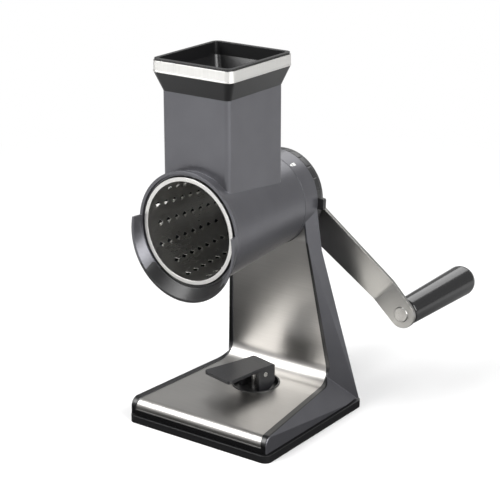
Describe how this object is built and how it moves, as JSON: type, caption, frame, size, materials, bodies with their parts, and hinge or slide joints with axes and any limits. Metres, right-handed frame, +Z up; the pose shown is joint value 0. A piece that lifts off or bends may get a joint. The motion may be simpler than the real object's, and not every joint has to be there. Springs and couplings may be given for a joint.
{
  "type": "hand cranked drum grater",
  "caption": "Hand-cranked drum grater on a leaning stand with suction foot; tapered grating drum under a square hopper, crank with turning grip.",
  "frame": {"origin": "centre of the square base, on the table", "axes": "+Z up, -Y the way the drum opens, +Y the crank side, +X to the right seen from the front"},
  "size_m": [0.1818, 0.2742, 0.31],
  "materials": {
    "black_plastic": "satin",
    "rim_plastic": "satin",
    "grip_plastic": "gloss",
    "lever_plastic": "satin",
    "hub_plastic": "satin",
    "cover_steel": "brushed",
    "drum_steel": "polished",
    "band_steel": "satin",
    "arm_steel": "satin",
    "shaft_steel": "machined",
    "bush_brass": "machined",
    "cup_rubber": "matte"
  },
  "bodies": {
    "stand": {"stand_body": "black_plastic", "stand_cover_sheet": "cover_steel", "base_rim": "rim_plastic", "base_screws": "shaft_steel", "suction_cup": "cup_rubber", "lever_recess_cup": "rim_plastic", "bearing_bush_front": "bush_brass", "bearing_bush_rear": "bush_brass"},
    "housing": {"drum_housing": "black_plastic", "hopper_band": "band_steel"},
    "locking_ring": {"lock_ring": "rim_plastic"},
    "foot_stem": {"suction_stem": "shaft_steel"},
    "foot_lever": {"suction_lever": "lever_plastic", "lever_pin": "shaft_steel"},
    "crank": {"drive_shaft": "shaft_steel", "shaft_retaining_ring": "shaft_steel", "crank_hub": "hub_plastic", "crank_arm": "arm_steel", "crank_washer": "shaft_steel", "crank_screw": "shaft_steel", "grip_axle": "shaft_steel", "grip_collar": "hub_plastic", "grip_clip": "shaft_steel"},
    "drum": {"drum_shell": "drum_steel", "drum_front_ring": "drum_steel", "drum_hub": "hub_plastic"},
    "handle": {"grip": "grip_plastic"}
  },
  "joints": [
    {"name": "housing_twist", "type": "hinge", "parent": "stand", "child": "housing", "pos_m": [0, 0.0269, 0.1803], "axis": [0, 1, 0], "range_deg": [0, 35]},
    {"name": "ring_turn", "type": "hinge", "parent": "stand", "child": "locking_ring", "pos_m": [0, 0.05, 0.1803], "axis": [0, 1, 0], "range_deg": [0, 30]},
    {"name": "stem_slide", "type": "slide", "parent": "stand", "child": "foot_stem", "axis": [0, 0, 1], "range_m": [-0.004, 0], "deforming": ["suction_cup"]},
    {"name": "lever_lift", "type": "hinge", "parent": "foot_stem", "child": "foot_lever", "pos_m": [0, 0.013, 0.0346], "axis": [-0.9703, 0.2419, 0], "range_deg": [0, 85]},
    {"name": "crank_turn", "type": "hinge", "parent": "stand", "child": "crank", "pos_m": [0, 0.0464, 0.1803], "axis": [0, 1, 0], "continuous": true},
    {"name": "drum_pull", "type": "slide", "parent": "crank", "child": "drum", "axis": [0, -1, 0], "range_m": [0, 0.11]},
    {"name": "grip_turn", "type": "hinge", "parent": "crank", "child": "handle", "pos_m": [0.09855, 0.12, 0.08513], "axis": [0, 1, 0], "continuous": true}
  ],
  "couplings": [
    {"joint": "stem_slide", "follows": "lever_lift", "m_per_rad": -0.0026963}
  ]
}
